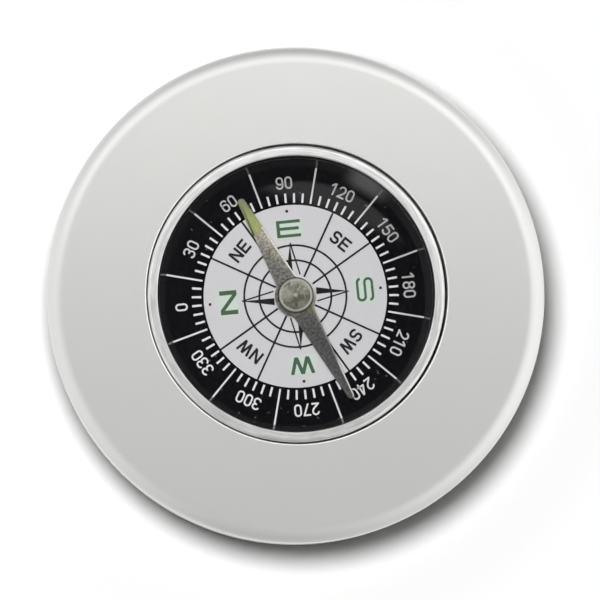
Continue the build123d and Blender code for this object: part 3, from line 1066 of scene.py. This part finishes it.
class COMPASS_OT_felt(Operator):
    """Lays the felt and its adhesive film in the recess under the disc"""
    bl_idname = "compass.felt"
    bl_label = "Lay the felt"

    def execute(self, context):
        disc = context.scene.compass_disc
        radius, base, top = round_node("base_pad")
        flat = radius - GUARD * disc.pad_round
        under = [(flat * ring / FELT_RINGS, base, 0) for ring in range(FELT_RINGS, -1, -1)]
        outline = [(0, top, 0), (radius, top, EDGE_BREAK), (radius, base, disc.pad_round)] + under
        bm = turned(outline, steps=FELT_STEPS)
        bmesh.ops.remove_doubles(bm, verts=bm.verts, dist=MERGE)
        for point in bm.verts:
            if point.co.z < top - disc.pad_round:
                swing = FUZZ_SWING * noise.fractal(point.co / FELT_LUMP, *FELT_NOISE)
                point.co.z += disc.pad_fuzz * max(0.0, FUZZ_MEAN + swing)
        pad = add_piece("felt_pad", bm, pressed_felt(disc), "base", "felt", "base_pad")
        dress("pad_adhesive", plain_finish("adhesive_film", disc.adhesive, FILM_GRAIN, roughness=0.4))
        return {"FINISHED"}


class COMPASS_OT_capsule(Operator):
    """Finishes the cup, its tape and its seal, and makes the dark wall round the dial"""
    bl_idname = "compass.capsule"
    bl_label = "Fit the capsule"

    def execute(self, context):
        capsule = context.scene.compass_capsule
        dress("capsule_cup", bare_brass(capsule))
        dress("capsule_tape", plain_finish("foam_tape", capsule.tape, FOAM_GRAIN, roughness=0.8))
        dress("lens_gasket", plain_finish("gasket_rubber", capsule.gasket, RUBBER_GRAIN, roughness=0.7))
        radius, face, rim = round_node("spacer_ring")
        outline = [
            (radius - capsule.wall_foot, face, 0),
            (radius, face, 0),
            (radius, rim, EDGE_BREAK),
            (radius - capsule.wall_top, rim, EDGE_BREAK),
        ]
        wall = turned(outline, closed=True)
        add_piece("dark_wall", wall, gloss_black(capsule), "base", "spacer_black", "spacer_ring")
        return {"FINISHED"}


class COMPASS_OT_bezel(Operator):
    """Turns the bright bezel that holds the lens"""
    bl_idname = "compass.bezel"
    bl_label = "Turn the bezel"

    def execute(self, context):
        capsule = context.scene.compass_capsule
        radius, base, top = round_node("bezel_ring")
        lip = radius - capsule.lip_width
        bore = radius - capsule.bezel_wall
        crimp = radius - capsule.crimp_width
        seat = top - capsule.lip_thickness
        flange = base + capsule.crimp_thickness
        outline = [
            (lip, seat, EDGE_BREAK),
            (bore, seat, 0),
            (bore, flange, 0),
            (crimp, flange, EDGE_BREAK),
            (crimp, base, capsule.crimp_round),
            (radius, base, capsule.heel_round),
            (radius, top, capsule.shoulder_round),
            (lip, top, capsule.lip_round),
        ]
        ring = turned(outline, closed=True)
        add_piece("bright_bezel", ring, turned_plating(capsule), "base", "bezel_plating", "bezel_ring")
        return {"FINISHED"}


class COMPASS_OT_lens(Operator):
    """Finishes the clear lens"""
    bl_idname = "compass.lens"
    bl_label = "Polish the lens"

    def execute(self, context):
        dress("lens", clear_acrylic())
        return {"FINISHED"}


class COMPASS_OT_dial(Operator):
    """Finishes the dial plate and prints its white card"""
    bl_idname = "compass.dial"
    bl_label = "Print the card"

    def execute(self, context):
        dial = context.scene.compass_dial
        dress("dial_plate", dial_black(dial))
        face = round_node("dial_plate")[2]
        hole = round_node("pivot_bush")[0] * dial.card_hole
        card = flat_ring(hole, dial.card_radius, face, dial.ink_height)
        add_piece("dial_card", card, card_white(dial), "base", "dial_print")
        return {"FINISHED"}


class COMPASS_OT_scale(Operator):
    """Prints the degree marks and figures"""
    bl_idname = "compass.scale"
    bl_label = "Print the degrees"

    def execute(self, context):
        dial = context.scene.compass_dial
        base = round_node("dial_plate")[2]
        marks = bmesh.new()
        for azimuth in range(0, 360, MARK_STEP):
            place = dial_place(dial, azimuth, base + dial.ink_height / 2)
            if azimuth % FIGURE_STEP == FIGURE_STEP / 2:
                add_bar(marks, dial.tick_start, dial.long_end, dial.long_width, dial.ink_height, place)
            else:
                add_bar(marks, dial.tick_start, dial.short_end, dial.short_width, dial.ink_height, place)
        mark_ink = ink("mark_ink", dial.mark_ink, dial, dial.thin_marks)
        add_piece("degree_marks", marks, mark_ink, "base", "dial_print")
        figures = bmesh.new()
        for azimuth in range(0, 360, FIGURE_STEP):
            place = dial_place(dial, azimuth, base)
            word = str(azimuth)
            add_word(figures, word, [dial.figure_width] * len(word), dial.figure_height, dial.figure_pen,
                     dial.figure_gap, dial.figure_radius, place, dial.ink_height)
        figure_ink = ink("figure_ink", dial.figure_ink, dial, dial.thin_figures)
        add_piece("degree_figures", figures, figure_ink, "base", "dial_print")
        return {"FINISHED"}


class COMPASS_OT_rose(Operator):
    """Prints the circles, spokes, star and dots of the rose"""
    bl_idname = "compass.rose"
    bl_label = "Print the rose"

    def execute(self, context):
        dial = context.scene.compass_dial
        height = dial.ink_height
        base = round_node("dial_plate")[2] + height
        level = base + height / 2
        rose = bmesh.new()
        for radius in (dial.outer_circle, dial.inner_circle):
            add_shape(rose, flat_ring(radius - dial.line / 2, radius + dial.line / 2, base, height))
        for azimuth in range(0, 360, SPOKE_STEP):
            if azimuth % QUARTER:
                place = dial_place(dial, azimuth, level)
                add_bar(rose, dial.bare_radius, dial.card_radius, dial.line, height, place)
        rise = dial.star_tip - dial.bare_radius
        half = dial.star_flare * rise
        lean = Matrix.Rotation(math.atan2(half, rise), 4, "Z")
        edge = Matrix.Translation((half, dial.bare_radius, 0)) @ lean
        dot = Matrix.Translation((0, dial.dot_radius, 0))
        for azimuth in range(0, 360, QUARTER):
            solid = [(0, dial.star_tip, 0), (-half, dial.bare_radius, 0), (0, dial.bare_radius, 0)]
            add_shape(rose, raised(solid, height), dial_place(dial, azimuth, base))
            place = dial_place(dial, azimuth, level)
            add_bar(rose, 0, math.hypot(half, rise), dial.line * dial.star_line, height, place @ edge)
            bmesh.ops.create_cone(rose, cap_ends=True, segments=DOT_STEPS, radius1=dial.dot_size,
                                  radius2=dial.dot_size, depth=height, matrix=place @ dot)
        add_piece("dial_rose", rose, ink("black_ink", dial.black_ink), "base", "dial_print")
        return {"FINISHED"}


class COMPASS_OT_letters(Operator):
    """Prints the letters of the compass points"""
    bl_idname = "compass.letters"
    bl_label = "Print the letters"

    def execute(self, context):
        dial = context.scene.compass_dial
        base = round_node("dial_plate")[2] + dial.ink_height
        points = bmesh.new()
        for index, letter in enumerate("NESW"):
            add_word(points, letter, [dial.point_width], dial.point_height, dial.point_pens[index], 0,
                     dial.point_radii[index], dial_place(dial, QUARTER * index, base), dial.ink_height,
                     dial.point_stretches[index])
        add_piece("point_letters", points, ink("green_ink", dial.green_ink), "base", "dial_print")
        quarters = bmesh.new()
        for azimuth, word in zip(range(QUARTER // 2, 360, QUARTER), ("NE", "SE", "SW", "NW")):
            widths = [LETTER_WIDTHS[sign] * dial.quarter_height for sign in word]
            add_word(quarters, word, widths, dial.quarter_height, dial.quarter_pen, dial.quarter_gap,
                     dial.quarter_radius, dial_place(dial, azimuth, base), dial.ink_height)
        add_piece("quarter_letters", quarters, bpy.data.materials["black_ink"], "base", "dial_print")
        return {"FINISHED"}


class COMPASS_OT_pivot(Operator):
    """Finishes the bush and the pin that carry the needle"""
    bl_idname = "compass.pivot"
    bl_label = "Finish the pivot"

    def execute(self, context):
        needle = context.scene.compass_needle
        dress("pivot_bush", bpy.data.materials["bare_brass"])
        dress("pivot_pin", plain_finish("pin_steel", needle.pin, PIN_GRAIN, roughness=0.2, metallic=1.0))
        return {"FINISHED"}


class COMPASS_OT_needle(Operator):
    """Finishes the needle: blade, luminous tip, cap and jewel"""
    bl_idname = "compass.needle"
    bl_label = "Finish the needle"

    def execute(self, context):
        needle = context.scene.compass_needle
        dress("needle_jewel", plain_finish("jewel", needle.jewel, JEWEL_GRAIN, roughness=0.1))
        self.add_blade(needle)
        self.add_paint(needle)
        self.add_cap(needle)
        return {"FINISHED"}

    def add_blade(self, needle):
        """The CAD blade, with its arms a little left of its hole and its south tip a little shorter."""
        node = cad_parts["needle_blade"]
        bm = bmesh.new()
        bm.from_mesh(node.data)
        bmesh.ops.transform(bm, matrix=node.matrix_world, verts=bm.verts)
        left = Vector((-math.cos(needle.heading), -math.sin(needle.heading), 0))
        north = Vector((-math.sin(needle.heading), math.cos(needle.heading), 0))
        arms = [point for point in bm.verts if point.co.xy.length > needle.collar]
        tip = [point for point in arms if point.co.dot(north) < -north_reach(needle) + 2 * needle.tip_radius]
        bmesh.ops.translate(bm, vec=left * needle.blade_left, verts=arms)
        bmesh.ops.translate(bm, vec=north * needle.south_cut, verts=tip)
        add_piece("steel_blade", bm, tempered_steel(needle), "needle", "needle_steel", "needle_blade")

    def add_paint(self, needle):
        """Paint round the blade's north tip, from its underside to a little above its top."""
        low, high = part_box("needle_blade")
        tip = needle.paint_tip
        reach = north_reach(needle) + tip - needle.tip_radius
        outline = [
            (across * needle.paint_root, needle.paint_start + along, rounding)
            for across, along, rounding in PAINT_START
        ]
        outline += [(tip, reach, PAINT_TIP_ROUND * tip), (-tip, reach, PAINT_TIP_ROUND * tip)]
        outline = [(x - needle.paint_left, y, rounding) for x, y, rounding in outline]
        depth = high.z + needle.paint_height - low.z
        bm = raised(outline, depth)
        rim = [edge for edge in bm.edges if all(point.co.z > depth / 2 for point in edge.verts)]
        bmesh.ops.bevel(bm, geom=rim, offset=needle.paint_round, offset_type="OFFSET",
                        segments=PAINT_SEGMENTS, profile=0.5, affect="EDGES", material=-1)
        place = Matrix.Translation((0, 0, low.z)) @ Matrix.Rotation(needle.heading, 4, "Z")
        bmesh.ops.transform(bm, matrix=place, verts=bm.verts)
        add_piece("luminous_tip", bm, luminous_paint(needle), "needle", "needle_steel")

    def add_cap(self, needle):
        """The turned cap, bored for the jewel, with a raised rim and a dimple."""
        radius, base, top = round_node("needle_cap")
        blade_base, blade_top = round_node("needle_blade")[1:]
        bore, jewel_top = round_node("needle_jewel")[::2]
        face = top - needle.rim_height
        hollow = face - needle.dimple_depth
        rim = [
            (radius - across * needle.rim_width, top - down * needle.rim_width, rounding)
            for across, down, rounding in CAP_RIM
        ]
        outline = [
            (0, jewel_top, 0),
            (bore, jewel_top, 0),
            (bore, base, 0),
            (needle.collar, base, EDGE_BREAK),
            (needle.collar, blade_base, 0),
            (needle.spigot, blade_base, 0),
            (needle.spigot, blade_top, 0),
            (radius, blade_top, 0),
            *rim,
            (radius - needle.rim_width, face, RIM_FOOT_ROUND),
            (DIMPLE_MOUTH * needle.dimple, face, DIMPLE_ROUND),
            (DIMPLE_FLOOR * needle.dimple, hollow, DIMPLE_ROUND),
            (0, hollow, 0),
        ]
        cap = turned(outline, steps=CAP_STEPS)
        add_piece("plated_cap", cap, dull_plate(needle), "needle", "cap_plated_brass", "needle_cap")


class COMPASS_OT_stage(Operator):
    """Sets up the floor, the studio light and the camera"""
    bl_idname = "compass.stage"
    bl_label = "Light the stage"

    def execute(self, context):
        stage = context.scene.compass_stage
        context.scene.view_settings.view_transform = "Standard"
        self.add_camera(context.scene, stage)
        self.add_floor(context.scene, stage)
        self.add_world(context.scene, stage)
        self.add_key(context.scene, stage)
        self.add_panel(context.scene, stage)
        return {"FINISHED"}

    def add_camera(self, scene, stage):
        """A camera that looks down on the bezel, a little from the lower left."""
        camera = bpy.data.cameras.new("camera")
        camera.sensor_width = SENSOR_MILLIMETRES
        camera.lens = SENSOR_MILLIMETRES * stage.camera_distance / stage.frame_width
        camera.clip_start, camera.clip_end = CLIP
        holder = bpy.data.objects.new("camera", camera)
        scene.collection.objects.link(holder)
        aim = Vector((stage.aim_right, -stage.aim_down, round_node("bezel_ring")[2]))
        back = Vector((-math.tan(stage.west_tilt), -math.tan(stage.south_tilt), 1)).normalized()
        right = Vector((0, 1, 0)).cross(back).normalized()
        turn = Matrix((right, back.cross(right), back)).transposed().to_4x4()
        holder.matrix_world = Matrix.Translation(aim + back * stage.camera_distance) @ turn
        scene.camera = holder

    def add_floor(self, scene, stage):
        """A pale floor that keeps the shadow, is white further out, and lets a view from below through."""
        bm = bmesh.new()
        bmesh.ops.create_grid(bm, x_segments=2, y_segments=2, size=FLOOR_SIZE)
        mesh = bpy.data.meshes.new("floor")
        bm.to_mesh(mesh)
        bm.free()
        finish = Finish.material("pale_floor")
        matte = finish.node("ShaderNodeBsdfDiffuse", None, {"Color": paint(stage.floor)})
        white = finish.node("ShaderNodeEmission", None, {"Color": WHITE, "Strength": 1.0})
        clear = finish.node("ShaderNodeBsdfTransparent")
        reach = span(*finish.flat(finish.place())) / cad_high.x
        ray = finish.node("ShaderNodeLightPath", output="Is Camera Ray")
        seen = ray.most(ray.output("Is Glossy Ray")).most(ray.output("Is Transmission Ray"))
        top = finish.blend(reach.fade(*WHITE_FLOOR) * seen, matte, white)
        covered = (1 - reach.fade(*OPEN_FLOOR)) * (1 - ray)
        under = finish.node("ShaderNodeNewGeometry", output="Backfacing").most(covered)
        mesh.materials.append(finish.show(finish.blend(under, top, clear)))
        floor = bpy.data.objects.new("floor", mesh)
        scene.collection.objects.link(floor)

    def add_world(self, scene, stage):
        """A white background, a room for metal and glass to mirror, and a little light from all round."""
        scene.world = bpy.data.worlds.new("studio")
        finish = Finish(scene.world)
        x, y, z = finish.axes(finish.node("ShaderNodeTexCoord", output="Generated"))
        level = stage.room - stage.back_dip * y.fade(*ROOM_BACK) - stage.horizon_dip * y.fade(*ROOM_HORIZON)
        front = (-y).fade(*ROOM_FRONT) * (1 - x.fade(*FRONT_RIGHT)) * (1 - (-x).fade(*FRONT_LEFT))
        sides = stage.right_lift * x.fade(*ROOM_RIGHT) + stage.left_lift * (-x).fade(*ROOM_LEFT)
        level = level - stage.front_dip * front + sides * (1 - abs(y).fade(*SIDES_END))
        # Where on the lens the camera sees a direction mirrored
        right = (x / z - math.tan(stage.west_tilt)) * stage.camera_distance
        up = (y / z - math.tan(stage.south_tilt)) * stage.camera_distance
        off = span(right, up) / stage.glare_radius
        along = toward(stage.glare_heading, right, up) / stage.glare_radius
        glare = stage.glare * along.fade(*GLARE_START) * (1 - off.fade(*GLARE_END))
        outward = (toward(stage.spot_heading, right, up) - stage.spot_reach) / stage.spot_depth
        sideways = toward(stage.spot_heading - math.pi / 2, right, up) / stage.spot_width
        spot = (1 - abs(sideways).fade(*SPOT_EDGE)) * (1 - abs(outward).fade(*SPOT_EDGE))
        level = level * off.fade(*LENS_CLEAR) + glare + stage.spot * spot
        even = stage.ambient + stage.from_below * (-z).fade(*BELOW)
        fill, room, white = (
            finish.node("ShaderNodeBackground", {"name": name}, {"Color": WHITE, "Strength": strength})
            for name, strength in (("fill", even), ("room", level), ("white", 1.0))
        )
        ray = finish.node("ShaderNodeLightPath", output="Is Camera Ray")
        mirrored = ray.output("Is Glossy Ray").most(ray.output("Is Transmission Ray"))
        finish.show(finish.blend(ray, finish.blend(mirrored, fill, room), white))

    def add_lamp(self, scene, name, shape, place):
        """An area lamp that is neither seen nor refracted."""
        lamp = bpy.data.lights.new(name, "AREA")
        lamp.shape = shape
        holder = bpy.data.objects.new(name, lamp)
        scene.collection.objects.link(holder)
        holder.matrix_world = place
        holder.visible_camera = False
        holder.visible_transmission = False
        return holder

    def add_key(self, scene, stage):
        """The lamp that lights the colours and throws the shadow."""
        lean = Matrix.Rotation(-stage.key_tilt, 4, "X")
        around = Matrix.Rotation(stage.key_heading, 4, "Z")
        place = around @ lean @ Matrix.Translation((0, 0, stage.key_distance))
        holder = self.add_lamp(scene, "key_lamp", "DISK", place)
        holder.data.energy = stage.key
        holder.data.size = stage.key_size
        holder.visible_glossy = False

    def add_panel(self, scene, stage):
        """The panel that metal mirrors."""
        middle = (0, stage.panel_start + stage.panel_depth / 2, stage.panel_height)
        holder = self.add_lamp(scene, "panel_lamp", "RECTANGLE", Matrix.Translation(middle))
        holder.data.size, holder.data.size_y = stage.panel_width, stage.panel_depth
        holder.data.energy = stage.panel * math.pi * stage.panel_width * stage.panel_depth
        holder.visible_diffuse = False


STEPS = (
    COMPASS_OT_disc,
    COMPASS_OT_felt,
    COMPASS_OT_capsule,
    COMPASS_OT_bezel,
    COMPASS_OT_lens,
    COMPASS_OT_dial,
    COMPASS_OT_scale,
    COMPASS_OT_rose,
    COMPASS_OT_letters,
    COMPASS_OT_pivot,
    COMPASS_OT_needle,
    COMPASS_OT_stage,
)


class COMPASS_PT_bench(Panel):
    """Lists the steps and their settings"""
    bl_idname = "COMPASS_PT_bench"
    bl_label = "Desk compass"
    bl_space_type = "VIEW_3D"
    bl_region_type = "UI"
    bl_category = "Compass"

    def draw(self, context):
        for step in STEPS:
            self.layout.operator(step.bl_idname)
        for name, group in SETTINGS.items():
            box = self.layout.box()
            for setting in group.__annotations__:
                box.prop(getattr(context.scene, name), setting)


def register():
    for group in SETTINGS.values():
        bpy.utils.register_class(group)
    for step in STEPS:
        bpy.utils.register_class(step)
    bpy.utils.register_class(COMPASS_PT_bench)
    for name, group in SETTINGS.items():
        setattr(bpy.types.Scene, name, PointerProperty(type=group))


def unregister():
    for name in SETTINGS:
        delattr(bpy.types.Scene, name)
    bpy.utils.unregister_class(COMPASS_PT_bench)
    for step in reversed(STEPS):
        bpy.utils.unregister_class(step)
    for group in reversed(SETTINGS.values()):
        bpy.utils.unregister_class(group)


def main():
    register()
    bpy.ops.compass.disc()
    bpy.ops.compass.felt()
    bpy.ops.compass.capsule()
    bpy.ops.compass.bezel()
    bpy.ops.compass.lens()
    bpy.ops.compass.dial()
    bpy.ops.compass.scale()
    bpy.ops.compass.rose()
    bpy.ops.compass.letters()
    bpy.ops.compass.pivot()
    bpy.ops.compass.needle()
    bpy.ops.compass.stage()


if __name__ == "__main__":
    main()
